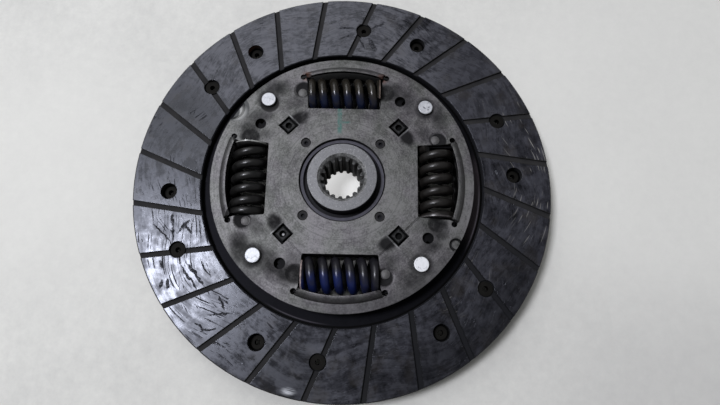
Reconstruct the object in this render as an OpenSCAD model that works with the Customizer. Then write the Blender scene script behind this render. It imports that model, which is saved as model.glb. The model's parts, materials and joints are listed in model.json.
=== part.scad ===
// Clutch disc with a sprung hub: two grooved friction facings on a cushion disc, two cover
// plates joined by stop pins, and a splined hub that four coil springs drive between them.
// The disc lies flat. z = 0 is the rear end of the hub, and the axis of the disc is Z.

/* [Friction facings] */
// Outer diameter of the facings
facing_od = 200; // [196:1:210]
// Inner diameter of the facings
facing_id = 135.5; // [134:0.5:138]
// Thickness of one facing
facing_t = 3.4; // [3:0.1:3.8]
// Free gap between the two facings, held open by the cushion disc
cushion_gap = 1.2; // [1:0.1:1.4]
// Height of the front working face above the rear end of the hub
face_height = 14.3; // [14:0.1:16]
// Number of grooves on each facing
groove_count = 24; // [12:6:30]
// Width of a groove
groove_w = 2.5; // [1.5:0.1:3]
// Depth of a groove
groove_depth = 1.1; // [0.5:0.1:1.4]
// Radius of the circle that the grooves' centre lines touch
groove_tangent_r = 24.6; // [0:0.2:35]

/* [Facing rivets] */
// Radius of the circle of rivets
rivet_ring_r = 82.9; // [80:0.1:86]
// Diameter of the counterbores and of the clearance holes
counterbore_dia = 7.8; // [7.4:0.1:8.4]
// Diameter of a rivet's shank
rivet_dia = 4; // [3.6:0.1:4.4]

/* [Cushion disc] */
// Thickness of the spring steel sheet
cushion_t = 0.7; // [0.6:0.05:0.8]
// Number of paddles, each with one rivet to the front and one to the rear facing
paddle_count = 6; // [6:1:6]

/* [Cover plates] */
// Outer diameter of the cover plates
cover_od = 123.4; // [122:0.2:125]
// Thickness of a cover plate
plate_t = 1.8; // [1.6:0.1:2]
// Gap between the inner faces of the two cover plates
plate_gap = 6.35; // [6.2:0.05:6.6]
// Height by which the middle of a plate stands proud of its rim
crown_h = 0.6; // [0.5:0.05:0.8]
// Diameter of the hole in the middle of a plate
cover_bore_dia = 40.5; // [40:0.1:41]

/* [Springs and their windows] */
// Distance from the axis to the springs' centre lines
spring_r = 44.4; // [44.2:0.1:44.6]
// Length of a spring, and of its window in the hub flange
spring_l = 34.8; // [34:0.1:35]
// Outer diameter of a spring
spring_od = 17.4; // [17:0.1:17.5]
// Diameter of the spring wire
wire_dia = 4.1; // [3.8:0.1:4.1]
// Number of turns of a spring
spring_turns = 6.1; // [5.6:0.1:6.2]
// Turn of each spring about its own centre line
spring_phase = [331, 288, 313, 191];
// Distance from the axis to the straight inner edge of a window
window_r = 35.3; // [35:0.1:35.4]

/* [Stop pins] */
// Radius of the circle of stop pins
pin_ring_r = 53.6; // [53.2:0.1:53.8]
// Diameter of a pin between the plates
pin_dia = 9; // [8.6:0.1:9.4]
// Diameter of a pin's riveted head
pin_head_dia = 7.1; // [6.8:0.1:7.4]
// Height of a pin's head above the plate
pin_head_h = 1.6; // [1.2:0.1:2]
// Turn of the hub each way before it meets the stop pins, in degrees
hub_travel = 7; // [4:0.5:7]

/* [Hub] */
// Length of the hub
hub_l = 25; // [24.4:0.2:27]
// Outer diameter of the hub
hub_od = 32.6; // [32:0.1:32.8]
// Number of teeth of the internal spline
spline_teeth = 17; // [14:1:20]
// Diameter at the roots of the spline
spline_major_dia = 20.1; // [19.6:0.1:20.6]
// Diameter at the tips of the spline's teeth
spline_minor_dia = 17.1; // [16.6:0.1:17.4]

/* [Hidden] */
SPRING_NODES = [for (i = [1:4]) str("torsion_spring_", i)];
PIN_NODES = [for (i = [1:4]) str("stop_pin_", i)];
$fn = 96;
e = 0.01;

// Heights, from the rear of the stack to its front
facing_mid_z = face_height - facing_t - cushion_gap / 2;
rear_plate_z = facing_mid_z + cushion_t / 2;
rear_inner_z = rear_plate_z + plate_t;
mid_z = rear_inner_z + plate_gap / 2;
front_inner_z = rear_inner_z + plate_gap;
crown_inner = plate_gap / 2 + crown_h;

// Angles, counter-clockwise from the middle of the first window
groove_phase = -7.6;
front_rivet_angle = 23.9;
rear_rivet_angle = 3.9;
rivet_pitch = 360 / paddle_count;
pin_angle = 43;
corner_angle = 45;
round_hole_angle = 55.8;
balance_mark_angle = 147;
index_mark_angle = 330.3;
spline_phase = 1.9;

// Facing and rivet details
edge_chamfer = 0.5;
counterbore_depth = 2;
rivet_seat = facing_t - counterbore_depth;
rivet_head_dia = 6.8;
rivet_head_h = 0.8;
rivet_clinch_dia = 6;
rivet_clinch_h = 0.6;
rivet_bore_dia = 2.5;

// Cushion disc details
cushion_inner_r = 58.2;
paddle_root_r = 70;
paddle_tip_r = facing_od / 2 - 1.2;
paddle_half = 27;
wave_h = (cushion_gap - cushion_t) / 2;
// Waves of a paddle: from angle, to angle, level (1 touches the front facing, -1 the rear one)
paddle_waves = [[-27, -19.5, 1], [-20, -18, 0], [-18.5, -3, -1], [-3.5, 3.5, 0],
                [3, 18.5, 1], [18, 20, 0], [19.5, 27, -1]];

// Cover plate details
hood_edge_r = 53.9;
hood_half = 19.8;
hood_bend_r = 3.5;
hood_t = 1.7;
hood_lift = 1.4;
hood_root_r = 57.2;
window_half_end = 20.3;
window_corner_r = 1;
window_outer_half = 18.5;
window_outer_r = 51;
relief_r = 55.9;
relief_angle = 21.4;
relief_dia = 2.7;
step_wall = 0.8;
octagon_half = 17.4;
lug_ring_r = 37.3;
lug_hole = 7;
peg_ring_r = 25;
peg_hole_dia = 4.7;
round_hole_ring_r = 48.2;
round_hole_dia = 5.2;
// Places of the dishes at a spring's leading and trailing end, in the frame of its window
dish_pos = [[45.2, 20.5], [44.1, 20.2]];
dish_dia = 8.6;
dish_depth = 1;
button_pos = [43.9, 20.5];
// Radii and heights of the buttons at the leading and the trailing end
button_r = [2.15, 1.6];
button_h = [0.95, 0.5];
button_dome_r = 4.5;
tenon_dia = 6;

// Friction washers, bushes and lugs
bush_outer_r = 28.6;
washer_inner_r = 29.8;
washer_outer_r = 33.8;
recess_r = 34.2;
flange_t = 4.8;
flange_recess = 0.9;
friction_t = 0.8;
thrust_t = 0.8;
disc_spring_t = 0.45;
bush_clearance = 0.15;
lug = 5.2;
lug_recess = 0.6;
arm_t = 0.55;
collar_r = 19.7;
collar_wall = 1.4;

// Hub and flange
flange_r = 56.3;
flange_pocket_r = 35.5;
flange_seat_r = 17.6;
flange_tooth = 1;
flange_teeth = 16;
stop_inner_r = 48.6;
stop_half = hub_travel + asin(pin_dia / 2 / pin_ring_r) + 0.13;
bore_chamfer_dia = 22.9;
valley_tip_w = 2.4;
valley_root_w = 1.1;
hub_chamfer = 0.3;

// ---------- shared shapes ----------

module ring_2d(r_in, r_out) {
    difference() {
        circle(r = r_out);
        circle(r = r_in);
    }
}

module wedge_2d(from, to, reach) {
    mid = (from + to) / 2;
    polygon([[0, 0], reach * [cos(from), sin(from)], 1.3 * reach * [cos(mid), sin(mid)],
             reach * [cos(to), sin(to)]]);
}

module sector_2d(r_in, r_out, from, to) {
    intersection() {
        ring_2d(r_in, r_out);
        wedge_2d(from, to, 1.5 * r_out);
    }
}

module four() {
    for (a = [0:90:270]) rotate(a) children();
}

// Puts a shape made for the front half of the damper on its rear half
module rear_side() {
    translate([0, 0, 2 * mid_z]) mirror([0, 0, 1]) children();
}

// ---------- facings and their rivets ----------

// One facing: its back at z = 0 and its working face at z = facing_t
module facing() {
    r_in = facing_id / 2;
    r_out = facing_od / 2;
    color("#3a3b42")
    difference() {
        rotate_extrude()
            polygon([[r_in, 0], [r_out, 0], [r_out, facing_t - edge_chamfer],
                     [r_out - edge_chamfer, facing_t], [r_in + edge_chamfer, facing_t],
                     [r_in, facing_t - edge_chamfer]]);
        for (k = [0:groove_count - 1])
            rotate(groove_phase + k * 360 / groove_count)
                translate([r_in - 12, groove_tangent_r - groove_w / 2, facing_t - groove_depth])
                    cube([r_out - r_in + 20, groove_w, groove_depth + 1]);
        for (k = [0:paddle_count - 1]) {
            rotate(front_rivet_angle + k * rivet_pitch)
                translate([rivet_ring_r, 0, 0]) {
                    translate([0, 0, rivet_seat]) cylinder(d = counterbore_dia, h = facing_t);
                    translate([0, 0, -1]) cylinder(d = rivet_dia, h = facing_t);
                }
            rotate(rear_rivet_angle + k * rivet_pitch)
                translate([rivet_ring_r, 0, -1]) cylinder(d = counterbore_dia, h = facing_t + 2);
        }
    }
}

module front_facing() {
    translate([0, 0, face_height - facing_t]) facing();
}

// The same part turned over, so that its rivets fall on the front facing's clearance holes
module rear_facing() {
    translate([0, 0, facing_mid_z - cushion_gap / 2])
        rotate(front_rivet_angle + rear_rivet_angle) rotate([180, 0, 0]) facing();
}

// Tubular rivet: its head rests on z = 0, and the clinched end holds one cushion paddle
module facing_rivet() {
    grip = rivet_seat + cushion_t;
    rotate_extrude($fn = 48)
        polygon([[rivet_bore_dia / 2, -grip - rivet_clinch_h], [rivet_clinch_dia / 2, -grip - rivet_clinch_h],
                 [rivet_clinch_dia / 2, -grip], [rivet_dia / 2, -grip], [rivet_dia / 2, 0],
                 [rivet_head_dia / 2, 0], [rivet_head_dia / 2, rivet_head_h],
                 [rivet_bore_dia / 2, rivet_head_h]]);
}

module rivet_ring(angle) {
    color("#6d6a60")
    for (k = [0:paddle_count - 1])
        rotate(angle + k * rivet_pitch) translate([rivet_ring_r, 0, 0]) children();
}

module front_facing_rivets() {
    rivet_ring(front_rivet_angle)
        translate([0, 0, face_height - counterbore_depth]) facing_rivet();
}

module rear_facing_rivets() {
    rivet_ring(rear_rivet_angle)
        translate([0, 0, 2 * facing_mid_z - face_height + counterbore_depth])
            mirror([0, 0, 1]) facing_rivet();
}

// ---------- cushion disc ----------

module cushion_level(level) {
    translate([0, 0, facing_mid_z - cushion_t / 2 + level * wave_h])
        linear_extrude(cushion_t) children();
}

module cushion_disc() {
    middle = (front_rivet_angle + rear_rivet_angle) / 2;
    color("#4b4a48")
    difference() {
        union() {
            cushion_level(0) {
                difference() {
                    union() {
                        ring_2d(cushion_inner_r, paddle_root_r);
                        four() rotate(pin_angle) translate([pin_ring_r, 0]) circle(r = 7.4);
                    }
                    four() rotate(pin_angle) translate([pin_ring_r, 0]) circle(d = tenon_dia);
                }
            }
            for (level = [-1:1])
                cushion_level(level)
                    for (k = [0:paddle_count - 1], w = paddle_waves)
                        if (w[2] == level)
                            rotate(middle + k * rivet_pitch)
                                sector_2d(paddle_root_r - 0.5, paddle_tip_r, w[0], w[1]);
        }
        for (k = [0:paddle_count - 1], a = [front_rivet_angle, rear_rivet_angle])
            rotate(a + k * rivet_pitch)
                translate([rivet_ring_r, 0, facing_mid_z - 2]) cylinder(d = rivet_dia, h = 4);
    }
}

// ---------- cover plates ----------

// Outline of the raised middle, with its long sides along the windows' inner edges
module octagon_2d(inset) {
    a = window_r - inset;
    b = octagon_half - inset * 0.414;
    polygon([[a, -b], [a, b], [b, a], [-b, a], [-a, b], [-a, -b], [-b, -a], [b, -a]]);
}

// One spring window: a straight inner edge, sides that open outwards, and room for its hood
module window_2d() {
    half = spring_l / 2;
    offset(r = window_corner_r) offset(delta = -window_corner_r)
        polygon([[window_r, -half], [window_outer_r, -window_outer_half], [window_outer_r + 4, 0],
                 [window_outer_r, window_outer_half], [window_r, half]]);
    sector_2d(window_outer_r - 1.5, hood_root_r, -window_half_end, window_half_end);
    for (s = [-1, 1])
        rotate(s * relief_angle) translate([relief_r, 0]) circle(d = relief_dia, $fn = 32);
}

// Hood that bends up from the outer edge of a window and over the spring
module hood() {
    rotate(-hood_half)
        rotate_extrude(angle = 2 * hood_half) {
            translate([hood_edge_r, hood_lift])
                intersection() {
                    ring_2d(hood_bend_r - hood_t, hood_bend_r, $fn = 64);
                    square(hood_bend_r + 1);
                }
            translate([hood_edge_r + hood_bend_r - hood_t, 0]) square([hood_t, hood_lift + e]);
        }
}

// One cover plate: the inner face of its rim at z = 0
module cover_plate() {
    difference() {
        union() {
            linear_extrude(plate_t)
                difference() {
                    circle(d = cover_od);
                    octagon_2d(step_wall);
                }
            linear_extrude(plate_t + crown_h / 2)
                difference() {
                    octagon_2d(-0.5);
                    octagon_2d(step_wall);
                }
            translate([0, 0, crown_h]) linear_extrude(plate_t) octagon_2d(0);
        }
        translate([0, 0, -1]) linear_extrude(plate_t + crown_h + 2) {
            circle(d = cover_bore_dia);
            four() {
                window_2d();
                rotate(pin_angle) translate([pin_ring_r, 0]) circle(d = tenon_dia);
                rotate(corner_angle) translate([peg_ring_r, 0]) circle(d = peg_hole_dia, $fn = 48);
                rotate(round_hole_angle) translate([round_hole_ring_r, 0])
                    circle(d = round_hole_dia, $fn = 48);
            }
        }
    }
    four() hood();
}

// A shallow dish beyond each spring end, cut in the outer face
module dish_cuts() {
    ball_r = (dish_dia * dish_dia / 4 + dish_depth * dish_depth) / (2 * dish_depth);
    four()
        for (k = [0, 1])
            translate([dish_pos[k][0], (k == 0 ? 1 : -1) * dish_pos[k][1], plate_t - dish_depth + ball_r])
                sphere(r = ball_r);
}

// The round button in each dish, domed on top
module buttons() {
    four()
        for (k = [0, 1])
            translate([button_pos[0], (k == 0 ? 1 : -1) * button_pos[1], plate_t - dish_depth])
                intersection() {
                    translate([0, 0, button_h[k] - button_dome_r]) sphere(r = button_dome_r, $fn = 64);
                    translate([0, 0, -0.3]) cylinder(r = button_r[k], h = 2, $fn = 48);
                }
}

// Two marks at the rim: a drilled balance mark and a small arc
module rim_marks() {
    rotate(balance_mark_angle) translate([64.1, 0, plate_t - 1.2])
        cylinder(d1 = 8.6, d2 = 12, h = 1.2 + e, $fn = 48);
    rotate(index_mark_angle) translate([60.4, 0, plate_t - 1])
        linear_extrude(1 + e) ring_2d(2, 2.8, $fn = 48);
}

module front_cover_plate() {
    color("#8c8986")
    translate([0, 0, front_inner_z]) {
        difference() {
            cover_plate();
            dish_cuts();
            rim_marks();
            four() rotate(corner_angle)
                translate([lug_ring_r - lug_hole / 2, -lug_hole / 2, -1]) cube([lug_hole, lug_hole, 5]);
        }
        buttons();
    }
}

module rear_cover_plate() {
    color("#82807d")
    rear_side() translate([0, 0, front_inner_z]) cover_plate();
}

// ---------- stop pins ----------

module stop_pin(i) {
    half = plate_gap / 2;
    head_top = half + plate_t + pin_head_h;
    r = pin_head_dia / 2;
    profile = [[0, -head_top - cushion_t], [r - 0.3, -head_top - cushion_t], [r, 0.3 - head_top - cushion_t],
               [r, -half - plate_t - cushion_t], [tenon_dia / 2, -half - plate_t - cushion_t],
               [tenon_dia / 2, -half], [pin_dia / 2, -half], [pin_dia / 2, half], [tenon_dia / 2, half],
               [tenon_dia / 2, half + plate_t], [r, half + plate_t], [r, head_top - 0.3],
               [r - 0.3, head_top], [0, head_top]];
    color("#e4e4e2")
    rotate(pin_angle + 90 * (i - 1)) translate([pin_ring_r, 0, mid_z])
        rotate_extrude($fn = 64) polygon(profile);
}

// ---------- bushes and friction washers ----------

// Bush between the hub and a cover plate: its collar and pegs stand in the plate's holes
module bush() {
    base = flange_t / 2 - flange_recess;
    top = crown_inner;
    bore_r = hub_od / 2 + bush_clearance;
    rise = crown_inner + 0.5;
    translate([0, 0, mid_z]) {
        rotate_extrude()
            polygon([[bore_r, base], [bush_outer_r, base], [bush_outer_r, top], [collar_r + 1, top],
                     [collar_r + 1, top - 1], [collar_r, top - 1], [collar_r, rise],
                     [collar_r - collar_wall, rise], [collar_r - collar_wall, base + 0.8],
                     [bore_r, base + 0.8]]);
        four() rotate(corner_angle) translate([peg_ring_r, 0, top - e])
            difference() {
                cylinder(d = peg_hole_dia - 0.4, h = plate_t - lug_recess, $fn = 48);
                translate([0, 0, e]) cylinder(d = 1.6, h = plate_t, $fn = 24);
            }
    }
}

module front_bush() {
    color("#5b5b60") bush();
}

module rear_bush() {
    color("#5b5b60") rear_side() bush();
}

// Ring that rubs on the flange
module friction_washer(z0, t) {
    translate([0, 0, z0]) linear_extrude(t) ring_2d(washer_inner_r, washer_outer_r);
}

module front_friction_washer() {
    color("#57534c") friction_washer(mid_z + flange_t / 2 - flange_recess, friction_t);
}

module rear_friction_washer() {
    t = crown_inner - flange_t / 2 + flange_recess;
    color("#57534c") friction_washer(mid_z - crown_inner, t);
}

// Thrust washer with four arms, each with a square hollow lug that stands in the front cover
module thrust_washer() {
    z0 = mid_z + flange_t / 2 - flange_recess + friction_t;
    z_arm = z0 + thrust_t - arm_t;
    z_top = mid_z + crown_inner + plate_t - lug_recess;
    color("#3c3d40")
    difference() {
        union() {
            friction_washer(z0, thrust_t);
            four() rotate(corner_angle) {
                translate([washer_outer_r - 1, -4, z_arm]) cube([3.4, 8, arm_t]);
                translate([lug_ring_r - lug / 2, -lug / 2, z_arm]) cube([lug, lug, z_top - z_arm]);
            }
        }
        four() rotate(corner_angle)
            translate([lug_ring_r, 0, z_arm + 0.6]) cylinder(d = 2.8, h = 5, $fn = 32);
    }
}

// Dished spring washer that loads the thrust washer
module spring_washer() {
    z_in = mid_z + flange_t / 2 - flange_recess + friction_t + thrust_t;
    z_out = mid_z + crown_inner - disc_spring_t;
    color("#6f6f74")
    rotate_extrude()
        polygon([[washer_inner_r, z_in], [washer_outer_r, z_out],
                 [washer_outer_r, z_out + disc_spring_t], [washer_inner_r, z_in + disc_spring_t]]);
}

// ---------- hub ----------

// Toothed seat that the hub and its flange share
module flange_seat_2d() {
    circle(r = flange_seat_r);
    for (k = [0:flange_teeth - 1])
        rotate(k * 360 / flange_teeth)
            polygon([[10, -2.4], [flange_seat_r + flange_tooth, -1.1],
                     [flange_seat_r + flange_tooth, 1.1], [10, 2.4]]);
}

// Open section of the splined bore: each valley narrows from the teeth's tips to its root
module spline_2d() {
    r_root = spline_major_dia / 2;
    inner = spline_minor_dia / 2 - 0.6;
    outer = r_root + 0.6;
    intersection() {
        circle(r = r_root);
        union() {
            circle(d = spline_minor_dia);
            for (k = [0:spline_teeth - 1])
                rotate(spline_phase + k * 360 / spline_teeth)
                    polygon([[inner, -valley_tip_w / 2], [outer, -valley_root_w / 2],
                             [outer, valley_root_w / 2], [inner, valley_tip_w / 2]]);
        }
    }
}

module splined_hub() {
    r = hub_od / 2;
    mouth_h = bore_chamfer_dia / 2 - 8;
    color("#b9b9ba")
    difference() {
        union() {
            rotate_extrude()
                polygon([[0, 0], [r - hub_chamfer, 0], [r, hub_chamfer], [r, hub_l - hub_chamfer],
                         [r - hub_chamfer, hub_l], [0, hub_l]]);
            translate([0, 0, mid_z - flange_t / 2 + flange_recess])
                linear_extrude(flange_t - 2 * flange_recess) flange_seat_2d();
        }
        translate([0, 0, -1]) linear_extrude(hub_l + 2) spline_2d();
        translate([0, 0, hub_l - mouth_h])
            cylinder(r1 = 8, r2 = bore_chamfer_dia / 2 + e, h = mouth_h + e);
        translate([0, 0, -e]) cylinder(r1 = bore_chamfer_dia / 2 + e, r2 = 8, h = mouth_h + e);
    }
}

// Flange that the springs drive: open pockets for them, and notches for the stop pins
module hub_flange() {
    half = spring_l / 2;
    color("#77767a")
    translate([0, 0, mid_z - flange_t / 2])
        difference() {
            linear_extrude(flange_t)
                difference() {
                    circle(r = flange_r);
                    flange_seat_2d();
                    four() translate([flange_pocket_r, -half]) square([30, spring_l]);
                    four() rotate(pin_angle)
                        sector_2d(stop_inner_r, flange_r + 2, -stop_half, stop_half);
                }
            for (z = [-1, flange_t - flange_recess])
                translate([0, 0, z]) cylinder(r = recess_r, h = 1 + flange_recess);
        }
}

// ---------- torsion springs ----------

// Rise of the wire over its first turn, which lies close to the ground end
function end_rise(t) = (wire_dia + 0.15) * pow(t, 1.6);

// Distance of the wire's centre from the middle of the spring after t turns
function coil_axial(t) =
    let (start = wire_dia / 4 - spring_l / 2,
         inner = spring_turns - 2,
         rise = wire_dia + 0.15,
         pitch = (-2 * start - 2 * rise) / inner)
    t < 1 ? start + end_rise(t)
    : t > spring_turns - 1 ? -start - end_rise(spring_turns - t)
    : start + rise + (t - 1) * pitch;

// Coil spring along Z, centred, with flat ground ends
module coil_spring() {
    sides = 10;
    per_turn = 16;
    steps = round(spring_turns * per_turn);
    coil_r = (spring_od - wire_dia) / 2;
    limit = spring_l / 2 - 0.02;
    points = [for (i = [0:steps], j = [0:sides - 1])
        let (t = i * spring_turns / steps,
             turn = 360 * t,
             around = 360 * j / sides,
             r = coil_r + wire_dia / 2 * cos(around),
             z = coil_axial(t) + wire_dia / 2 * sin(around))
        [r * cos(turn), r * sin(turn), max(-limit, min(limit, z))]];
    walls = [for (i = [0:steps - 1], j = [0:sides - 1])
        let (a = i * sides + j,
             b = i * sides + (j + 1) % sides)
        each [[a, b, b + sides], [a, b + sides, a + sides]]];
    first = [for (j = [0:sides - 1]) (sides + 3 - j) % sides];
    last = [for (j = [0:sides - 1]) steps * sides + (j + 7) % sides];
    polyhedron(points, concat([first], walls, [last]));
}

module torsion_spring(i) {
    color(i % 2 == 0 ? "#23242a" : "#2c3550")
    rotate(90 * i) translate([spring_r, 0, mid_z])
        rotate([-90, 0, 0]) rotate(spring_phase[i - 1]) coil_spring();
}

// ---------- assembly ----------

front_facing();
rear_facing();
cushion_disc();
front_facing_rivets();
rear_facing_rivets();
front_cover_plate();
rear_cover_plate();
front_bush();
rear_bush();
thrust_washer();
spring_washer();
front_friction_washer();
rear_friction_washer();
splined_hub();
hub_flange();
for (i = [1:4])
    stop_pin(i);
for (i = [1:4])
    torsion_spring(i);
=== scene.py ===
"""Looks of a clutch disc with a sprung hub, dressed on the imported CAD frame.

The disc lies flat: z = 0 is the floor, the axis is Z and the front faces up. Sizes and places are in
millimetres, and MM turns them into metres. Angles are in degrees, counter-clockwise from +X.
"""

import json
import math

import bpy
from mathutils import Matrix, Vector


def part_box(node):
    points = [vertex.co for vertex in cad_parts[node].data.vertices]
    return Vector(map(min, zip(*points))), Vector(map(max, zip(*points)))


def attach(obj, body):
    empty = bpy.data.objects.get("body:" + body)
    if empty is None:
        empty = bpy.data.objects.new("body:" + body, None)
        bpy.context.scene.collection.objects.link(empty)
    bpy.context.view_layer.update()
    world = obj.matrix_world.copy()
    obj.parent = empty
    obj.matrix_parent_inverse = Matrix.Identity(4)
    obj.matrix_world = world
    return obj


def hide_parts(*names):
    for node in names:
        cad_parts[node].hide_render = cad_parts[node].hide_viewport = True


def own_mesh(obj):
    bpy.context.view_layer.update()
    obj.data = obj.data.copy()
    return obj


MM = 0.001

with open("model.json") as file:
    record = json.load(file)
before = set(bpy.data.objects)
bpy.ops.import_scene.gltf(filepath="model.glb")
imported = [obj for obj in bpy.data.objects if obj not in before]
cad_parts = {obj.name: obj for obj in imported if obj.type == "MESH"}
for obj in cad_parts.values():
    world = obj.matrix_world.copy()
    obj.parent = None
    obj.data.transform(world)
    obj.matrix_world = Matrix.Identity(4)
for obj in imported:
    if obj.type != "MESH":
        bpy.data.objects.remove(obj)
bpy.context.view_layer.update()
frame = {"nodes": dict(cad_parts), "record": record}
nodes = frame["nodes"]


def top_of(node):
    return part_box(node)[1].z / MM


def middle_of(node):
    return sum(corner.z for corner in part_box(node)) / 2 / MM


# ---------- sizes of the disc ----------

FACE_MIDDLE_Z = middle_of("cushion_disc")
FACE_HALF = top_of("front_facing") - FACE_MIDDLE_Z
FACE_INNER = 67.75
# Each groove lies along a tangent of a circle; its lean is the cosine of its angle from the radius,
# at the middle of the facing
GROOVE_PHASE = -7.6
GROOVE_PITCH = 15
GROOVE_TANGENT = 24.6
GROOVE_LEAN = 0.96
GROOVE_HALF = 1.25
# The rear facing is the front one turned over, and turned by this much
REAR_TURN = 27.8
RIVET_RING = 82.9
RIVET_ANGLES = (3.9, 23.9)
RIVET_HOLE = 3.9

PLATE_MIDDLE_Z = middle_of("hub_flange")
# The front cover plate's face outside its raised middle
PLATE_FACE_Z = 20.6
PLATE_RIM = 61.7
# Where a window's hood rises from the flat plate on its outer side
HOOD_ROOT = 57.2
LUG_RING = 37.3
LUG_TOP = top_of("thrust_washer")
PEG_RING = 25
COLLAR_INNER = 18.3
COLLAR_OUTER = 19.7
PIN_RING = 53.6
PIN_TOP = top_of("stop_pin_1")
HUB_TOP = top_of("splined_hub")
SPLINE_ROOT = 10.05
SPLINE_TIP = 8.55
HUB_MOUTH = 11.45

SPRING_RING = 44.4
SPRING_LENGTH = 34.8
SPRING_OD = 17.4
WIRE = 4.1
TURNS = 6.1
# The angle round the coil at which each spring's wire starts
SPRING_PHASES = (331, 288, 313, 191)


# ---------- shader building ----------


class Field:
    """A number that varies over a surface: a shader socket with arithmetic."""

    def __init__(self, look, socket):
        self.look = look
        self.socket = socket

    def op(self, kind, *values, clamp=False):
        node = self.look.add("ShaderNodeMath", operation=kind, use_clamp=clamp)
        for place, value in zip(node.inputs, values):
            self.look.put(place, value)
        return Field(self.look, node.outputs[0])

    def __add__(self, other):
        return self.op("ADD", self, other)

    def __radd__(self, other):
        return self.op("ADD", other, self)

    def __sub__(self, other):
        return self.op("SUBTRACT", self, other)

    def __rsub__(self, other):
        return self.op("SUBTRACT", other, self)

    def __mul__(self, other):
        return self.op("MULTIPLY", self, other)

    def __truediv__(self, other):
        return self.op("DIVIDE", self, other)

    def __rtruediv__(self, other):
        return self.op("DIVIDE", other, self)

    def abs(self):
        return self.op("ABSOLUTE", self)

    def sin(self):
        return self.op("SINE", self)

    def cos(self):
        return self.op("COSINE", self)

    def arcsin(self):
        return self.op("ARCSINE", self)

    def sqrt(self):
        return self.op("SQRT", self)

    def max(self, other):
        return self.op("MAXIMUM", self, other)

    def clamped(self):
        return self.op("ADD", self, 0, clamp=True)

    def fold(self, period):
        """The distance from the nearest whole multiple of period, with its sign."""
        return self.op("WRAP", self, period / 2, -period / 2)

    def step(self, low, high):
        """0 below low, 1 above high and smooth between; low may be the larger."""
        node = self.look.add("ShaderNodeMapRange", interpolation_type="SMOOTHSTEP")
        values = {"Value": self, "From Min": min(low, high), "From Max": max(low, high)}
        values.update({"To Min": 0 if low < high else 1, "To Max": 1 if low < high else 0})
        for name, value in values.items():
            self.look.put(node.inputs[name], value)
        return Field(self.look, node.outputs[0])


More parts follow.
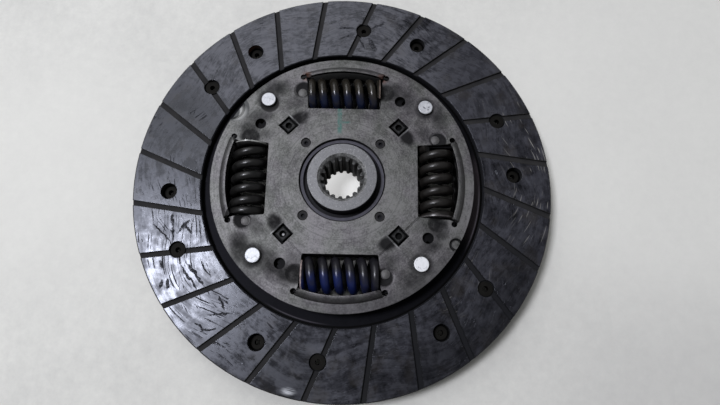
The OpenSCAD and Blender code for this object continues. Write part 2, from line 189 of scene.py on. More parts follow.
class Look:
    """A material being built. x, y, z and r are places in millimetres, angle is in degrees."""

    def __init__(self, name):
        self.material = bpy.data.materials.new(name)
        self.material.use_nodes = True
        self.tree = self.material.node_tree
        self.shader = self.tree.nodes["Principled BSDF"]
        coordinates = self.add("ShaderNodeTexCoord")
        scaled = self.add("ShaderNodeVectorMath", operation="SCALE")
        self.put(scaled.inputs[0], coordinates.outputs["Object"])
        scaled.inputs["Scale"].default_value = 1 / MM
        self.place = scaled.outputs[0]
        split = self.add("ShaderNodeSeparateXYZ")
        self.put(split.inputs[0], self.place)
        self.x, self.y, self.z = (Field(self, s) for s in split.outputs)
        self.r = (self.x * self.x + self.y * self.y).sqrt()
        self.angle = self.x.op("ARCTAN2", self.y, self.x) * math.degrees(1)

    def add(self, kind, **settings):
        node = self.tree.nodes.new(kind)
        for name, value in settings.items():
            setattr(node, name, value)
        return node

    def put(self, place, value):
        value = getattr(value, "socket", value)
        if isinstance(value, bpy.types.NodeSocket):
            self.tree.links.new(value, place)
        elif isinstance(value, tuple) and len(value) == 3 and place.type == "RGBA":
            place.default_value = (*value, 1)
        else:
            place.default_value = value

    def vector(self, x, y, z):
        node = self.add("ShaderNodeCombineXYZ")
        for place, value in zip(node.inputs, (x, y, z)):
            self.put(place, value)
        return node.outputs[0]

    def noise(self, size, detail=3, rough=0.5, bend=0, seed=0, at=None):
        """Cloudy noise of about 0.2 to 0.8, with lumps of the given size."""
        node = self.add("ShaderNodeTexNoise", noise_dimensions="4D")
        self.put(node.inputs["Vector"], at or self.place)
        values = {"W": seed, "Scale": 1 / size, "Detail": detail, "Roughness": rough, "Distortion": bend}
        for name, value in values.items():
            node.inputs[name].default_value = value
        return Field(self, node.outputs[0])

    def streaks(self, width, length, detail=2, seed=0, at_r=85, across=None):
        """Noise drawn out along circles round the axis, or along lines of equal across.

        The streaks have their length at the radius at_r.
        """
        scale = at_r / length
        place = self.vector(self.x / self.r * scale, self.y / self.r * scale, (across or self.r) / width)
        return self.noise(1, detail, seed=seed, at=place)

    def bent(self, size, reach):
        """x and y pushed about by up to half of reach, in lumps of the given size."""
        node = self.add("ShaderNodeTexNoise")
        self.put(node.inputs["Vector"], self.place)
        node.inputs["Scale"].default_value = 1 / size
        split = self.add("ShaderNodeSeparateXYZ")
        self.put(split.inputs[0], node.outputs["Color"])
        u, v = (Field(self, s) for s in split.outputs[:2])
        return self.x + (u - 0.5) * reach, self.y + (v - 0.5) * reach

    def cell_edges(self, size, seed):
        """The distance from the edges of cells of the given size."""
        node = self.add("ShaderNodeTexVoronoi", voronoi_dimensions="4D", feature="DISTANCE_TO_EDGE")
        self.put(node.inputs["Vector"], self.place)
        node.inputs["Scale"].default_value = 1 / size
        node.inputs["W"].default_value = seed
        return Field(self, node.outputs["Distance"])

    def attribute(self, name):
        """A value stored on the mesh's points."""
        return Field(self, self.add("ShaderNodeAttribute", attribute_name=name).outputs["Fac"])

    def mix(self, amount, low, high):
        """Colour low where amount is 0, high where it is 1."""
        # A Mix node's inputs 6 and 7 and its output 2 are the ones for colours
        node = self.add("ShaderNodeMix", data_type="RGBA")
        self.put(node.inputs["Factor"], amount)
        self.put(node.inputs[6], low)
        self.put(node.inputs[7], high)
        return node.outputs[2]

    def bump(self, height, strength=1, edge=0):
        """Sets the normal from a height in millimetres, on edges rounded by a radius."""
        node = self.add("ShaderNodeBump")
        self.put(node.inputs["Height"], height)
        node.inputs["Distance"].default_value = MM
        node.inputs["Strength"].default_value = strength
        if edge:
            rounded = self.add("ShaderNodeBevel", samples=6)
            rounded.inputs["Radius"].default_value = edge * MM
            self.put(node.inputs["Normal"], rounded.outputs[0])
        self.put(self.shader.inputs["Normal"], node.outputs[0])

    def sector(self, width, angle):
        """Places in a sector of the disc, out along its middle and counter-clockwise across it."""
        turn = angle.fold(width) * math.radians(1)
        return self.r * turn.cos(), self.r * turn.sin()

    def quarters(self):
        """Places in a quarter of the disc, seen from its diagonal."""
        return self.sector(90, self.angle - 45)

    def near(self, x, y, radius, soft, at=None, stretch=1, turn=0):
        """1 within radius of a point, falling to 0 over soft; stretched along a direction."""
        u, v = at or (self.x, self.y)
        u, v = u - x, v - y
        if stretch != 1:
            c, s = math.cos(math.radians(turn)), math.sin(math.radians(turn))
            u, v = (u * c + v * s) / stretch, v * c - u * s
        return (u * u + v * v).sqrt().step(radius + soft, radius)

    def strokes(self, rows, at):
        """1 along each stroke from (x1, y1) to (x2, y2), widest in its middle."""
        drawn = []
        for x1, y1, x2, y2, width in rows:
            length, turn = math.hypot(x2 - x1, y2 - y1), math.degrees(math.atan2(y2 - y1, x2 - x1))
            middle = (x1 + x2) / 2, (y1 + y2) / 2
            drawn.append(self.near(*middle, width / 2, width / 2, at, length / 2 / width, turn))
        return strongest(drawn)

    def inwards(self, height, ring):
        """1 where a face turns towards a height and a circle round the axis."""
        geometry = self.add("ShaderNodeNewGeometry")
        split = self.add("ShaderNodeSeparateXYZ")
        to_object = self.add("ShaderNodeVectorTransform", vector_type="NORMAL")
        to_object.convert_from, to_object.convert_to = "WORLD", "OBJECT"
        self.put(to_object.inputs[0], geometry.outputs["True Normal"])
        self.put(split.inputs[0], to_object.outputs[0])
        nx, ny, nz = (Field(self, s) for s in split.outputs)
        outward = (nx * self.x + ny * self.y) / self.r
        turned_away = nz * (self.z - height) + outward * (self.r - ring)
        return turned_away.step(-1, -2.5)

    def finish(self, **inputs):
        """Sets the shader's inputs by their names, such as base_color, and gives the material."""
        for name, value in inputs.items():
            self.put(self.shader.inputs[name.replace("_", " ").title().replace("Ior", "IOR")], value)
        return self.material


def strongest(fields):
    """The largest of some fields at each place."""
    result = fields[0]
    for field in fields[1:]:
        result = result.max(field)
    return result


def polar(radius, degrees):
    """x and y of a place given by its distance from the axis and its angle."""
    return radius * math.cos(math.radians(degrees)), radius * math.sin(math.radians(degrees))


# ---------- materials ----------

# The yarn's waves on its way round: it swings most on its ring, and not at all at the ends of its reach
YARN_WAVES = 8
YARN_RING = 84
YARN_SWING = 5
YARN_REACH = 16.5
# Cracks round the left and the top rivet and at the lower left: x and y of two ends, and a width
CRACKS = (
    (-80, -16, -79, -23, 0.7),
    (-79, -22, -78, -30, 0.6),
    (-89, -21, -79, -30, 0.45),
    (-71, -19, -77, -26, 1.0),
    (-74, -22, -69, -26, 0.5),
    (-83, -38, -82, -43, 1.0),
    (-81, -47, -82, -52, 0.9),
    (-79, -47, -78, -52, 1.1),
    (-72, -38, -61, -51, 0.8),
    (-74, -40, -64, -53, 0.6),
    (-60, -63, -47, -62, 0.6),
    (-55, -54, -51, -61, 0.6),
    (-65, -66, -58, -71, 0.6),
    (-62, -70, -54, -69, 0.5),
    (-58, -74, -49, -77, 0.5),
    (9, 91, 9, 85, 0.7),
    (12, 83, 21, 88, 0.9),
    (11, 79, 16, 70, 1.8),
    (6, 79, 10, 71, 0.7),
    (-4, 77, 5, 81, 0.5),
    (-6, 83, 6, 84, 0.5),
)
# Grime, and painted shade round the pins, on a quarter of a cover plate: place out along its diagonal and
# across it, radius, softness, how far and along which angle it is drawn out, and depth
GRIME_AND_SHADE = (
    (36.4, -6.2, 1.7, 2.6, 1.4, 70, 1.2),
    (45.8, 16.9, 3.2, 2.6, 1.0, 0, 1.2),
    (48.5, 14.5, 2.0, 5.0, 1.0, 0, 0.9),
    (50.5, 7.5, 0.5, 6, 1.7, 70, 0.8),
    (53.6, -1.9, 4.2, 2.4, 1.0, 0, 0.8),
    (55.0, -9.5, 0.5, 6, 1.6, 60, 0.8),
    (44.0, -12.0, 0.5, 5, 1.6, 100, 0.5),
    (42.5, 12.0, 0.5, 5, 1.4, 60, 0.4),
)
# Dents on the pin at the upper right, as in CRACKS
PIN_DENTS = (
    (37.6, 37.0, 39.6, 35.6, 0.4),
    (40.2, 36.4, 41.4, 36.8, 0.4),
    (39.8, 35.2, 41.2, 35.2, 0.35),
)


def facing_look():
    """Worn friction composite: wound yarn under dust, cracks and light scratches."""
    look = Look("friction_composite")
    # 1 on the face, and 0 in the grooves and the rivet holes
    worn = (look.z - FACE_MIDDLE_Z).abs().step(FACE_HALF - 0.25, FACE_HALF - 0.05)
    front = look.z.step(FACE_MIDDLE_Z - 0.1, FACE_MIDDLE_Z + 0.1)
    angle = look.angle * front + (REAR_TURN - look.angle) * (1 - front)

    # Yarn wound in waves between the rims
    level = (look.r - YARN_RING) / YARN_REACH
    swing = (1 - level * level).max(0)
    wave = angle * math.radians(YARN_WAVES)
    rising = look.r + wave.sin() * swing * YARN_SWING
    falling = look.r - wave.cos() * swing * YARN_SWING
    yarn = look.streaks(1.3, 11, 3, seed=3, across=rising)
    crossing = look.streaks(1.2, 8, 3, seed=4, across=falling)
    fine = look.streaks(0.4, 5, 2, seed=5, across=rising)
    cloud = look.noise(9, 4, 0.62, 0.8, seed=1)
    mottle = look.noise(3.2, 3, 0.6, 0.5, seed=2)
    drawn = look.streaks(3.2, 24, 4, seed=45, across=rising)
    grain = look.noise(0.8, 2, 0.65, seed=44)

    # Gouges torn along the yarn: most on the left and at the lower left
    torn_side = look.near(-76, -42, 16, 40)
    patches = (look.noise(9, 2, 0.5, seed=6) + torn_side * 0.14 - 0.05).step(0.5, 0.6)
    gouge = look.streaks(0.7, 17, 2, seed=7, across=rising).step(0.6, 0.67)
    nick = look.streaks(0.6, 6, 1, seed=8, across=falling).step(0.66, 0.72)
    gouge = (gouge.max(nick) * patches * 0.85).clamped()
    crumbled = look.noise(0.7, 2, seed=10).step(0.36, 0.56) * 0.8 + 0.2
    crack = look.strokes(CRACKS, look.bent(2.5, 2.4)) * front * crumbled
    dark = gouge.max(crack)

    # Ragged edges of the grooves
    lead = (GROOVE_TANGENT / look.r).arcsin() * math.degrees(1)
    groove = (angle - GROOVE_PHASE - lead).fold(GROOVE_PITCH).abs() * look.r * math.radians(GROOVE_LEAN)
    ragged = groove - look.noise(1.2, 2, 0.6, seed=11) * 1.1
    ragged = ragged.step(GROOVE_HALF - 0.2, GROOVE_HALF - 0.4)

    # Light scratches, most near the rim on the right and some by the damper at the lower right
    scuffed = look.near(94, 8, 12, 42) * look.r.step(76, 90)
    scuffed = scuffed.max(look.near(56, -46, 6, 16) * 0.35)
    scratches = look.streaks(0.7, 10, 1, seed=12, across=falling).step(0.64, 0.69) * (scuffed * 0.95 + 0.03)

    tone = cloud * 1.3 + mottle * 1.1 + drawn * 0.7 + grain * 0.6 + fine * 0.7 + yarn * 0.6 + crossing * 0.5
    ground = look.mix((tone - 2.3).clamped(), (0.003, 0.003, 0.004), (0.048, 0.048, 0.058))
    # A thin film of dust, wiped into clouds and fine lines, most on the far side
    film = look.near(-16, 66, 40, 42)
    wiped = cloud * 2.8 + mottle * 2.2 + fine * 3 + drawn * 0.8 + crossing * 1.4 - 4.65
    ground = look.mix(film * wiped.clamped(), ground, (0.09, 0.09, 0.1))
    # Greyer at the upper right, darker at the left and near the rim at the bottom
    ground = look.mix(look.near(66, 52, 10, 26) * 0.25, ground, (0.05, 0.05, 0.058))
    dull = (look.near(-79, 26, 10, 24) * 0.8).max(look.near(*polar(92, 256), 6, 16) * 0.55)
    ground = look.mix(dull, ground, (0.006, 0.006, 0.007))
    rusty = look.noise(8, 3, seed=13).step(0.5, 0.7)
    ground = look.mix(rusty * 0.3, ground, (0.034, 0.028, 0.02))
    ground = look.mix(dark * 0.95, ground, (0.004, 0.004, 0.005))
    ground = look.mix(scratches * 0.9, ground, (0.24, 0.23, 0.21))
    # A painted highlight: a glare patch beside the rim at the bottom
    wear_and_glare = look.near(-21.2, -94.8, 0.2, 2.0, stretch=2, turn=-6) * (fine * 5 - 1.8).clamped()
    ground = look.mix(wear_and_glare, ground, (0.5, 0.51, 0.53))

    # The groove floors are dark, and painted shade darkens them further at the lower right
    painted_shade_grooves = look.near(40, -62, 28, 64) * 0.8
    bed = look.mix(look.noise(5, 3, seed=14), (0.005, 0.0048, 0.0045), (0.03, 0.028, 0.026))
    bed = look.mix(painted_shade_grooves, bed, (0.002, 0.002, 0.002))
    colour = look.mix(worn * (1 - ragged), bed, ground)
    # Painted shade on the rim at the lower right, and on the inner wall
    painted_shade_rim = look.near(58, -64, 26, 38)
    colour = look.mix(painted_shade_rim * look.r.step(76, 92) * 0.6, colour, (0.002, 0.002, 0.003))
    wall = look.r.step(FACE_INNER + 0.55, FACE_INNER + 0.25)
    colour = look.mix(wall * 0.9, colour, (0.003, 0.003, 0.004))
    # Painted shade darkens the rivet holes, with rust in one of them
    holes = strongest([
        look.near(RIVET_RING, 0, RIVET_HOLE - 0.3, 0.6, at=look.sector(60, angle - turn))
        for turn in RIVET_ANGLES
    ])
    colour = look.mix(holes * (1 - worn) * 0.9, colour, (0.003, 0.003, 0.0025))
    rust = look.near(*polar(RIVET_RING + 1, 124.5), 2.5, 2.5) * front
    rust = rust * look.noise(1.5, 2, seed=15).step(0.3, 0.6)
    colour = look.mix(rust * (1 - worn), colour, (0.09, 0.038, 0.02))

    # Rubbed to a glaze in streaks
    glaze = drawn * 0.5 + cloud * 0.6 + mottle * 0.3 + crossing * 0.15 + fine * 0.1 - 0.825
    rough = (0.265 + glaze + dark * 0.5).max(0.17)
    rough = rough * worn + (1 - worn) * 0.9
    relief = grain * 0.004 + fine * 0.005 + yarn * 0.011 + crossing * 0.01 + cloud * 0.035 + mottle * 0.015
    look.bump(relief + drawn * 0.022 - dark * 0.13, 0.8, edge=0.25)
    return look.finish(
        base_color=colour, roughness=rough, specular_ior_level=0.4, specular_tint=(0.88, 0.91, 1)
    )


def cover_look(marked):
    """Smudged pressed steel; marked adds the paint, the rust and the marks at the front plate's rim."""
    look = Look("cover_steel_front" if marked else "cover_steel_rear")
    broad = look.noise(24, 2, 0.5, seed=16)
    mottle = look.noise(4, 4, 0.6, 0.4, seed=17)
    grain = look.noise(0.7, 3, 0.7, seed=18)
    arcs = look.streaks(0.5, 8, 2, seed=19, at_r=45)
    # Paler round the hub, and darker just outside that
    round_hub = look.r.step(29.5, 28) * 0.09 - look.r.step(28.5, 31) * look.r.step(38, 34) * 0.05
    # Rubbed paler below the hub and at the right, and dull at the lower left of the rim
    wear_and_glare = look.near(*polar(26, 255), 5, 14) * 0.28 + look.near(*polar(27, 0), 6, 14) * 0.14
    wear_and_glare = wear_and_glare + look.near(*polar(59, 347), 5, 14) * 0.5 - look.near(*polar(59, 226), 5, 12) * 0.4
    tone = broad * 1.5 + mottle * 2.0 + grain * 2.6 + arcs * 0.9 + round_hub + wear_and_glare - 3.05
    colour = look.mix(tone.clamped(), (0.035, 0.034, 0.0335), (0.15, 0.146, 0.145))
    hue = look.noise(13, 2, 0.5, seed=26).step(0.35, 0.65)
    colour = look.mix(0.12, colour, look.mix(hue, (0.1, 0.12, 0.08), (0.13, 0.1, 0.135)))

    # Grime beside the lugs and in the dishes, and painted shade round the pins, with a dark crescent beside
    # each dish's button
    quarter = look.quarters()
    cloud = look.noise(3.5, 3, 0.6, seed=20).step(0.2, 0.7)
    patch = look.noise(15, 1, seed=21).step(0.3, 0.6)
    grime_and_shade = strongest([
        look.near(x, y, radius, soft, quarter, stretch, turn) * depth
        for x, y, radius, soft, stretch, turn, depth in GRIME_AND_SHADE
    ])
    grime_and_shade = (grime_and_shade * (cloud * 0.5 + 0.55) * (patch * 0.3 + 0.75)).clamped()
    button = look.near(45.47, -16.48, 1.9, 0.4, quarter)
    crescent = look.near(46.3, -17.9, 3.4, 1.0, quarter) * (1 - button)
    grime_and_shade = grime_and_shade.max(crescent * (cloud * 0.1 + 0.95)).clamped()
    colour = look.mix(grime_and_shade * 0.92, colour, (0.007, 0.0068, 0.0075))
    # The button in each dish is painted lighter as a highlight
    colour = look.mix(button * 0.5, colour, (0.15, 0.145, 0.14))
    # A painted highlight along an edge beside each square hole, and painted shade towards the rim at the
    # lower right
    lip = look.near(37.8, -3.85, 0.2, 0.35, quarter, stretch=9)
    colour = look.mix(lip * 0.5 * cloud, colour, (0.4, 0.4, 0.4))
    rim = look.r.step(PLATE_RIM - 6.2, PLATE_RIM - 2.7) * look.near(22, -58, 22, 34)
    colour = look.mix(rim * 0.45, colour, (0.02, 0.0195, 0.02))
    # Faint dark circles round the hub
    rings = (look.r - 28.6).abs().step(0.45, 0.1).max((look.r - 25.4).abs().step(0.35, 0.1) * 0.6)
    colour = look.mix(rings * 0.3, colour, (0.03, 0.03, 0.03))
    # Painted shade makes the outer slopes of the hoods darker than the flat plate
    hood = look.r.step(HOOD_ROOT - 2.8, HOOD_ROOT - 1.2) * look.r.step(HOOD_ROOT + 0.1, HOOD_ROOT - 0.1)
    hood = hood * look.z.step(PLATE_FACE_Z + 0.15, PLATE_FACE_Z + 0.5)
    colour = look.mix(hood * 0.6, colour, (0.025, 0.0245, 0.025))
    # Painted shade blackens the faces that turn inwards, between the plates
    colour = look.mix(look.inwards(PLATE_MIDDLE_Z, SPRING_RING), colour, (0.006, 0.006, 0.006))
    if marked:
        # A stroke of green paint with a tick above the hub, and rust at the ends of the upper window
        wet = look.noise(1.3, 2, seed=22).step(0.3, 0.7)
        line = (look.x + 1.9 + (look.y - 28) * 0.02).abs().step(1.5, 0.5)
        line = line * look.y.step(21.5, 24) * look.y.step(35.8, 35)
        tick = (look.y - 28.3).abs().step(0.8, 0.2) * look.x.step(-2.2, -1.6) * look.x.step(3.8, 2.2)
        paint = line.max(tick * 0.8) * (wet * 0.6 + 0.4)
        colour = look.mix(paint * 0.7, colour, (0.018, 0.12, 0.1))
        rust = look.near(-19, 52.5, 0.5, 3).max(look.near(18.5, 51.5, 0.5, 3))
        colour = look.mix(rust * cloud * 0.8, colour, (0.12, 0.04, 0.018))
        # The balance mark is painted dark as shade in its hollow, with a painted highlight on its inner
        # wall, and the index mark is a dark arc
        dimple = look.near(*polar(62.9, 146.5), 6.4, 0.5)
        wall = look.near(*polar(65.0, 149), 4.7, 0.8)
        colour = look.mix(dimple * 0.9, colour, (0.034, 0.036, 0.036))
        dimple_highlight = dimple * (1 - wall) * look.near(-51, 32.5, 2, 3.5)
        colour = look.mix(dimple_highlight * 0.9, colour, (0.26, 0.26, 0.25))
        index = polar(60.4, 330.3)
        arc = look.near(*index, 3.0, 0.2) * (1 - look.near(*index, 1.8, 0.2))
        arc = arc * (1 - look.near(*polar(63.6, 328.6), 2.0, 1.0))
        colour = look.mix(arc, colour, (0.002, 0.002, 0.002))
        # Black below the pin at the upper left, and smears towards the rim
        pin_x, pin_y = polar(PIN_RING, 133)
        shade = look.near(pin_x + 0.4, pin_y - 1.5, 4.2, 0.7)
        colour = look.mix(shade * 0.95, colour, (0.004, 0.003, 0.003))
        smear = look.near(*polar(58.5, 222), 5, 11).max(look.near(*polar(59, 128), 3, 8))
        smear = smear.max(look.near(*polar(60, 304), 2, 7) * 0.6)
        colour = look.mix(smear * cloud * 0.6, colour, (0.015, 0.015, 0.015))
    rough = 0.45 + mottle * 0.14 - arcs * 0.05 + grime_and_shade * 0.42
    look.bump(grain * 0.05 + mottle * 0.08 + arcs * 0.015, edge=0.3)
    return look.finish(base_color=colour, metallic=0.5, roughness=rough)


def steel_look(name, dark, light, rough, metallic=0.9, sheen=0.5):
    """A plain dark material with a fine grain."""
    look = Look(name)
    mottle = look.noise(3, 4, 0.6, seed=21)
    grain = look.noise(0.4, 2, 0.6, seed=22)
    tone = (mottle * 0.9 + grain * 0.4 - 0.15).clamped()
    colour = look.mix(tone, dark, light)
    look.bump(grain * 0.01 + mottle * 0.02, edge=0.15)
    return look.finish(
        base_color=colour, metallic=metallic, roughness=rough + mottle * 0.12, specular_ior_level=sheen
    )


def cushion_look():
    """Dark rolled steel, painted lighter and browner on the right as light, with a painted highlight line
    where it shows beside the facing.
    """
    look = Look("cushion_steel")
    mottle = look.noise(3, 4, 0.6, seed=27)
    # Painted light: lighter, browner steel at the right
    bare_and_painted_light = look.near(67, -6, 14, 12)
    colour = look.mix(mottle, (0.002, 0.002, 0.003), (0.009, 0.009, 0.011))
    colour = look.mix(bare_and_painted_light * 0.9, colour, look.mix(mottle, (0.02, 0.016, 0.018), (0.05, 0.042, 0.047)))
    # A painted highlight: a pale line beside the facing
    lit = look.near(66, -15, 6, 14).max(look.near(-20, -64, 4, 14) * 0.4)
    line = (look.r - FACE_INNER + 1.45).abs().step(0.4, 0.15) * lit
    colour = look.mix(line * 0.6, colour, (0.13, 0.12, 0.135))
    # Painted shade: black next to the facing's inner wall
    colour = look.mix(look.r.step(FACE_INNER - 1.15, FACE_INNER - 0.75), colour, (0.002, 0.002, 0.002))
    look.bump(mottle * 0.02, edge=0.15)
    return look.finish(
        base_color=colour, metallic=0.8, roughness=0.5 + mottle * 0.12, specular_ior_level=0.12
    )


def lug_look():
    """Dark square lugs, painted black as shade round their rims and holes; the hole at the lower left has a
    painted highlight.
    """
    look = Look("lug_steel")
    u, v = look.quarters()
    u = u - LUG_RING
    edge = u.abs().max(v.abs())
    grain = look.noise(0.6, 3, 0.6, seed=24)
    centre = (u * u + v * v).sqrt()
    worn = edge.step(2.5, 1.6) * centre.step(1.45, 1.9) * look.z.step(LUG_TOP - 1.1, LUG_TOP - 0.8)
    # Only the worn face is lighter; the rims and hole walls are painted black as shade
    colour = look.mix(worn * (grain * 3 - 0.9).clamped(), (0.002, 0.002, 0.002), (0.05, 0.05, 0.05))
    # A painted highlight in the hole at the lower left
    painted_glint = centre.step(0.75, 0.3) * look.x.step(0, -1) * look.y.step(0, -1)
    colour = look.mix(painted_glint, colour, (0.35, 0.35, 0.35))
    look.bump(grain * 0.03, edge=0.3)
    return look.finish(
        base_color=colour, metallic=0.5, roughness=0.5 + grain * 0.2, specular_ior_level=0.15
    )


def bush_look():
    """Dark moulding: the collar's rim is pale, and the pegs are black round their edges."""
    look = Look("bush_polymer")
    mottle = look.noise(1.5, 3, 0.6, seed=25)
    u, v = look.quarters()
    u = u - PEG_RING
    peg = (u * u + v * v).sqrt()
    colour = look.mix(mottle, (0.004, 0.004, 0.005), (0.016, 0.016, 0.019))
    rim = look.r.step(COLLAR_INNER - 0.3, COLLAR_INNER - 0.1)
    rim = rim * look.r.step(COLLAR_OUTER + 0.3, COLLAR_OUTER + 0.1)
    colour = look.mix(rim * (mottle + 0.3).clamped(), colour, (0.085, 0.083, 0.1))
    colour = look.mix(peg.step(1.2, 1.6) * peg.step(2.3, 1.9), colour, (0.02, 0.019, 0.019))
    look.bump(mottle * 0.03, edge=0.25)
    return look.finish(base_color=colour, roughness=0.5 + mottle * 0.1, specular_ior_level=0.12)


def hub_look():
    """Turned steel: a pale end face, a worn greasy mouth and dark teeth."""
    look = Look("hub_steel")
    mottle = look.noise(1.6, 4, 0.65, seed=31)
    grain = look.noise(0.35, 2, 0.6, seed=32)
    pits = look.noise(0.9, 3, 0.7, seed=33).step(0.6, 0.68)
    greasy = look.noise(1.1, 3, 0.7, seed=34).step(0.5, 0.62)
    lit = look.noise(0.6, 2, 0.6, seed=35).step(0.6, 0.68)
    end = look.z.step(HUB_TOP - 0.25, HUB_TOP - 0.05)
    mouth = look.r.step(HUB_MOUTH + 0.45, HUB_MOUTH - 0.25)
    bore = look.r.step(SPLINE_ROOT + 0.55, SPLINE_ROOT + 0.15)
    face = look.mix((mottle * 0.8 + grain - 0.35).clamped(), (0.066, 0.066, 0.068), (0.19, 0.19, 0.195))
    face = look.mix(pits * 0.5, face, (0.04, 0.04, 0.04))
    face = look.mix(lit * 0.35, face, (0.4, 0.4, 0.41))
    worn = look.mix((mottle * 3 + grain * 2 - 2).clamped(), (0.05, 0.05, 0.046), (0.3, 0.3, 0.295))
    worn = look.mix(greasy * 0.45, worn, (0.02, 0.02, 0.019))
    tip = look.r.step(SPLINE_TIP + 1.05, SPLINE_TIP + 0.25)
    clean = (mottle * 1.3 - 0.3).clamped() * (tip * 0.6 + 0.4)
    teeth = look.mix(clean, (0.012, 0.012, 0.0115), (0.19, 0.19, 0.188))
    teeth = look.mix(look.z.step(HUB_TOP - 4.5, HUB_TOP - 1.5) * (tip * 0.5 + 0.3), teeth, worn)
    teeth = look.mix(greasy * 0.4, teeth, (0.006, 0.006, 0.006))
    side = look.mix(mottle, (0.004, 0.004, 0.005), (0.02, 0.02, 0.022))
    colour = look.mix(end, side, face)
    colour = look.mix(mouth, colour, worn)
    colour = look.mix(bore, colour, teeth)
    look.bump(grain * 0.01 + mottle * 0.03 - pits * 0.03, edge=0.2)
    return look.finish(base_color=colour, metallic=0.8 - mouth * 0.6, roughness=0.36 + mottle * 0.2)


def pin_look():
    """Bright hammered heads with sides painted dark as shade; the one at the lower right is painted brighter
    as a highlight, and the upper right one is dented.
    """
    look = Look("pin_steel")
    mottle = look.noise(1.3, 3, 0.6, seed=41)
    scratch = look.cell_edges(1.8, 42).step(0.03, 0.015) * look.noise(3, 1, seed=43).step(0.5, 0.6)
    head = look.z.step(PIN_TOP - 0.2, PIN_TOP - 0.05)
    bright = look.mix((mottle * 1.8 - 0.4).clamped(), (0.36, 0.37, 0.39), (0.58, 0.585, 0.6))
    # A painted highlight on the pin at the lower right
    painted_highlight_pin = look.near(*polar(PIN_RING, 313), 6, 1)
    bright = look.mix(painted_highlight_pin * 0.6, bright, (0.95, 0.95, 0.95))
    bright = look.mix(scratch * 0.6, bright, (0.12, 0.12, 0.13))
    dents = look.strokes(PIN_DENTS, look.bent(1, 0.4))
    bright = look.mix(dents * 0.8, bright, (0.05, 0.05, 0.06))
    # The sides below the head are painted dark as shade
    colour = look.mix(head, (0.05, 0.05, 0.052), bright)
    look.bump(mottle * 0.05 - scratch * 0.02, edge=0.35)
    return look.finish(base_color=colour, metallic=0.35, roughness=0.4 + mottle * 0.1)


def spring_look(name, low, high, rough, bare_and_painted_light, blue=None):
    """Wire with a mottled dark skin.

    The ground end takes its own colour, of bare steel painted lighter as a highlight. blue is where and how
    a blue tint shows: x, y, radius, softness, stretch, colour and strength.
    """
    look = Look(name)
    mottle = look.noise(2.2, 4, 0.6, seed=51)
    grain = look.noise(0.4, 2, 0.6, seed=52)
    tone = (mottle * 1.2 + grain * 0.3 - 0.25).clamped()
    colour = look.mix(tone, low, high)
    if blue:
        x, y, radius, soft, stretch, tint, strength = blue
        cloud = look.noise(4, 2, 0.6, seed=53).step(0.3, 0.6)
        tinted = look.near(x, y, radius, soft, stretch=stretch) * (cloud * 0.6 + 0.4)
        colour = look.mix(tinted * strength, colour, tint)
    # The ground end is bare steel, painted lighter as a highlight, and the side of the wire that faces into
    # the coil is painted black as shade and made dull
    ground = look.attribute("from_end").step(0.75, 0.35)
    colour = look.mix(ground * (mottle * 2 - 0.3).clamped(), colour, bare_and_painted_light)
    outside = look.attribute("outside").step(-0.25, 0.15)
    colour = look.mix(outside, (0.002, 0.002, 0.002), colour)
    look.bump(grain * 0.01 + mottle * 0.02)
    rough = rough + mottle * 0.12 + (1 - outside) * 0.7
    return look.finish(base_color=colour, metallic=0.2, roughness=rough)


# ---------- springs ----------

# The wire's first end starts this many turns earlier and is sunk into the seat, so it thins out
LEAD_IN = 0.25
SUNK = WIRE * 3 / 8
# The end turns lie nearly flat: they rise as this power of the turn, and leave this gap
END_CURVE = 1.6
END_GAP = 0.15


def coil_axial(turn):
    """Distance of the wire's centre from the spring's middle after some turns."""
    start = WIRE / 4 - SPRING_LENGTH / 2
    rise = WIRE + END_GAP
    pitch = (-2 * start - 2 * rise) / (TURNS - 2)
    if turn < 1:
        return start - SUNK + (rise + SUNK) * ((turn + LEAD_IN) / (1 + LEAD_IN)) ** END_CURVE
    if turn > TURNS - 1:
        return -start - rise * (TURNS - turn) ** END_CURVE
    return start + rise + (turn - 1) * pitch


def coil_spring(name, phase, place):
    """A compression spring with ground ends; attributes say how each point faces and where it lies."""
    sides, per_turn = 20, 60
    steps = round((TURNS + LEAD_IN) * per_turn)
    coil_r = (SPRING_OD - WIRE) / 2
    limit = SPRING_LENGTH / 2 - 0.02
    points, outside, from_end = [], [], []
    for i in range(steps + 1):
        turn = i * (TURNS + LEAD_IN) / steps - LEAD_IN
        angle = math.radians(phase) + math.tau * turn
        for j in range(sides):
            around = math.tau * j / sides
            r = coil_r + WIRE / 2 * math.cos(around)
            z = max(-limit, min(limit, coil_axial(turn) + WIRE / 2 * math.sin(around)))
            points.append(place @ (Vector((r * math.cos(angle), r * math.sin(angle), z)) * MM))
            outside.append(math.cos(around))
            from_end.append(z + limit)
    faces = []
    for i in range(steps):
        for j in range(sides):
            a, b = i * sides + j, i * sides + (j + 1) % sides
            faces.append((a, b, b + sides, a + sides))
    faces.append(tuple(reversed(range(sides))))
    faces.append(tuple(range(steps * sides, (steps + 1) * sides)))
    mesh = bpy.data.meshes.new(name)
    mesh.from_pydata(points, [], faces)
    mesh.attributes.new("outside", "FLOAT", "POINT").data.foreach_set("value", outside)
    mesh.attributes.new("from_end", "FLOAT", "POINT").data.foreach_set("value", from_end)
    mesh.shade_smooth()
    mesh.set_sharp_from_angle(angle=math.radians(50))
    spring = bpy.data.objects.new(name, mesh)
    bpy.context.scene.collection.objects.link(spring)
    return spring


# ---------- dressing ----------

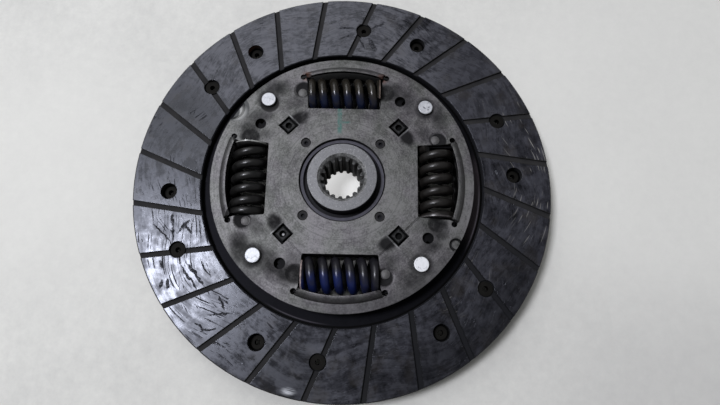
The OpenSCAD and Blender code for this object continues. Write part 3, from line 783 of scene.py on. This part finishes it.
LOOKS = {
    "friction_facing": facing_look(),
    "spring_steel": cushion_look(),
    "rivet_metal": steel_look(
        "rivet_metal", (0.003, 0.0028, 0.0025), (0.013, 0.012, 0.01), 0.6, metallic=0.4, sheen=0.1
    ),
    "cover_steel": cover_look(marked=False),
    "bush_polymer": bush_look(),
    "washer_steel": lug_look(),
    "friction_liner": steel_look(
        "friction_liner", (0.02, 0.018, 0.016), (0.04, 0.036, 0.032), 0.8, metallic=0.0
    ),
    "hub_steel": hub_look(),
    "flange_steel": steel_look("flange_steel", (0.003, 0.003, 0.003), (0.012, 0.012, 0.013), 0.5, sheen=0.2),
    "pin_steel": pin_look(),
}


def dress(node, material):
    for holder in nodes[node].material_slots:
        holder.material = material


for part in frame["record"]["subparts"]:
    if part["material_slot"] in LOOKS:
        dress(part["node"], LOOKS[part["material_slot"]])
dress("front_cover_plate", cover_look(marked=True))

SPRING_LOOKS = (
    spring_look(
        "spring_bronze", (0.006, 0.006, 0.005), (0.04, 0.034, 0.026), 0.17,
        blue=(-2, 37, 3, 4, 4, (0.006, 0.012, 0.04), 0.85), bare_and_painted_light=(0.16, 0.12, 0.1),
    ),
    spring_look(
        "spring_black_left", (0.003, 0.003, 0.003), (0.022, 0.021, 0.02), 0.23, bare_and_painted_light=(0.5, 0.5, 0.47)
    ),
    spring_look(
        "spring_blue", (0.005, 0.005, 0.007), (0.026, 0.025, 0.03), 0.24,
        blue=(-5, -50, 4, 5, 2.6, (0.009, 0.018, 0.095), 0.9), bare_and_painted_light=(0.75, 0.6, 0.56),
    ),
    spring_look(
        "spring_black_right", (0.004, 0.0035, 0.003), (0.026, 0.023, 0.021), 0.27, bare_and_painted_light=(0.12, 0.11, 0.11)
    ),
)
SPRING_SLOTS = ("spring_blue", "spring_black", "spring_blue", "spring_black")
for i, (phase, look, slot) in enumerate(zip(SPRING_PHASES, SPRING_LOOKS, SPRING_SLOTS), 1):
    place = (
        Matrix.Rotation(math.radians(90 * i), 4, "Z")
        @ Matrix.Translation(Vector((SPRING_RING, 0, PLATE_MIDDLE_Z)) * MM)
        @ Matrix.Rotation(math.radians(-90), 4, "X")
    )
    spring = coil_spring(f"coil_spring_{i}", phase, place)
    spring.data.materials.append(look)
    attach(spring, "springs")
    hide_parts(f"torsion_spring_{i}")
    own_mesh(spring)


# ---------- floor, light and camera ----------

FLOOR_REACH = 3000
FLOOR_Z = -0.05
ROOM_LIGHT = 0.17
# The place in the middle of the picture, and where it is seen from
VIEW_CENTRE = Vector((8.55, -9.44, 14.3)) * MM
VIEW_DISTANCE = 241.86 * MM
VIEW_ELEVATION = 76.17
VIEW_TURN = -0.49
VIEW_ROLL = 1.61
LENS = 25.44
SENSOR_WIDTH = 36


def floor_look():
    """Pale paper, with painted light at the left and right and painted shade at the lower right."""
    look = Look("pale_floor")
    tone = look.noise(45, 3, seed=61) + (look.noise(4, 4, 0.7, seed=62) - 0.5) * 1.5
    colour = look.mix(tone.clamped(), (0.6, 0.592, 0.55), (0.745, 0.735, 0.678))
    # Painted light at the left and right, and painted shade at the lower right
    colour = look.mix(look.near(170, 40, 60, 90) * 0.6, colour, (0.76, 0.75, 0.695))
    colour = look.mix(look.near(-150, 10, 20, 80) * 0.6, colour, (0.77, 0.76, 0.7))
    colour = look.mix(look.near(165, -125, 20, 100) * 0.5, colour, (0.47, 0.46, 0.44))
    # Painted light: the floor seen down the bore glows for camera rays, so it is as pale as the rest
    seen = Field(look, look.add("ShaderNodeLightPath").outputs["Is Camera Ray"])
    glow = look.r.step(13, 9) * (0.5 - look.x * 0.021 + look.y * 0.014) * seen
    look.put(look.shader.inputs["Emission Color"], (0.9, 0.9, 0.9))
    return look.finish(base_color=colour, roughness=0.9, emission_strength=glow)


def area_light(name, tilt, azimuth, distance, size, power, colour):
    """A soft light that faces the origin, tilted from straight above; in metres and watts."""
    data = bpy.data.lights.new(name, "AREA")
    data.shape, data.size, data.size_y = "RECTANGLE", size[0], size[1]
    data.energy, data.color = power, colour
    light = bpy.data.objects.new(name, data)
    bpy.context.scene.collection.objects.link(light)
    away = Vector((*polar(math.sin(math.radians(tilt)), azimuth), math.cos(math.radians(tilt))))
    light.location = away * distance
    light.rotation_euler = away.to_track_quat("Z", "Y").to_euler()


floor_mesh = bpy.data.meshes.new("floor")
corners = [
    Vector((x * FLOOR_REACH, y * FLOOR_REACH, FLOOR_Z)) * MM for x, y in ((-1, -1), (1, -1), (1, 1), (-1, 1))
]
floor_mesh.from_pydata(corners, [], [(0, 1, 2, 3)])
floor = bpy.data.objects.new("floor", floor_mesh)
floor.data.materials.append(floor_look())
bpy.context.scene.collection.objects.link(floor)

area_light("key", 23.7, 172.4, 1.6, (0.34, 0.34), 16, (0.96, 0.98, 1.08))
area_light("window", 36.6, 117, 2.0, (1.27, 1.8), 13.6, (0.98, 0.99, 1.03))

world = bpy.data.worlds.new("room")
world.use_nodes = True
background = world.node_tree.nodes["Background"]
background.inputs["Color"].default_value = (0.95, 0.97, 1, 1)
background.inputs["Strength"].default_value = ROOM_LIGHT
bpy.context.scene.world = world

down = math.radians(VIEW_ELEVATION)
ahead = Vector((0, math.cos(down), -math.sin(down)))
right = Vector((1, 0, 0))
up = right.cross(ahead)
axes = Matrix((right, up, -ahead)).transposed()
turn = Matrix.Rotation(math.radians(VIEW_TURN), 3, "Z")
camera_data = bpy.data.cameras.new("camera")
camera_data.lens = LENS
camera_data.sensor_width = SENSOR_WIDTH
camera_data.clip_start = 0.01
camera = bpy.data.objects.new("camera", camera_data)
bpy.context.scene.collection.objects.link(camera)
camera.matrix_world = Matrix.Translation(VIEW_CENTRE - turn @ ahead * VIEW_DISTANCE) @ (
    turn @ axes @ Matrix.Rotation(math.radians(VIEW_ROLL), 3, "Z")
).to_4x4()
bpy.context.scene.camera = camera
bpy.context.scene.view_settings.view_transform = "Standard"
